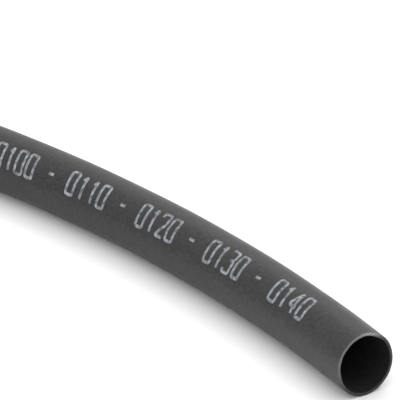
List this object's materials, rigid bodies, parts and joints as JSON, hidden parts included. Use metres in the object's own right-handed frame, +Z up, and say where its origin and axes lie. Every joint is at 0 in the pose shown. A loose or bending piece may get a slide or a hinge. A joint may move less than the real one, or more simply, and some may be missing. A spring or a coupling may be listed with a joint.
{
  "type": "heat shrink tube",
  "caption": "Thin-walled round heat shrink tube, a cut piece with open ends that lies on its side with the slight curl of its reel.",
  "frame": {"origin": "on the surface that the tube lies on, under the middle of its footprint", "axes": "+X along the chord of the curled tube towards the slightly askew cut mouth, +Y towards the outside of the curl, +Z up as it lies on its side"},
  "size_m": [0.147, 0.0234, 0.0061],
  "materials": {
    "black_polyolefin": "matte black cross-linked polyolefin with a faint grain from extrusion and expansion"
  },
  "bodies": {
    "root": {"heat_shrink_tube": "black_polyolefin"}
  },
  "joints": []
}
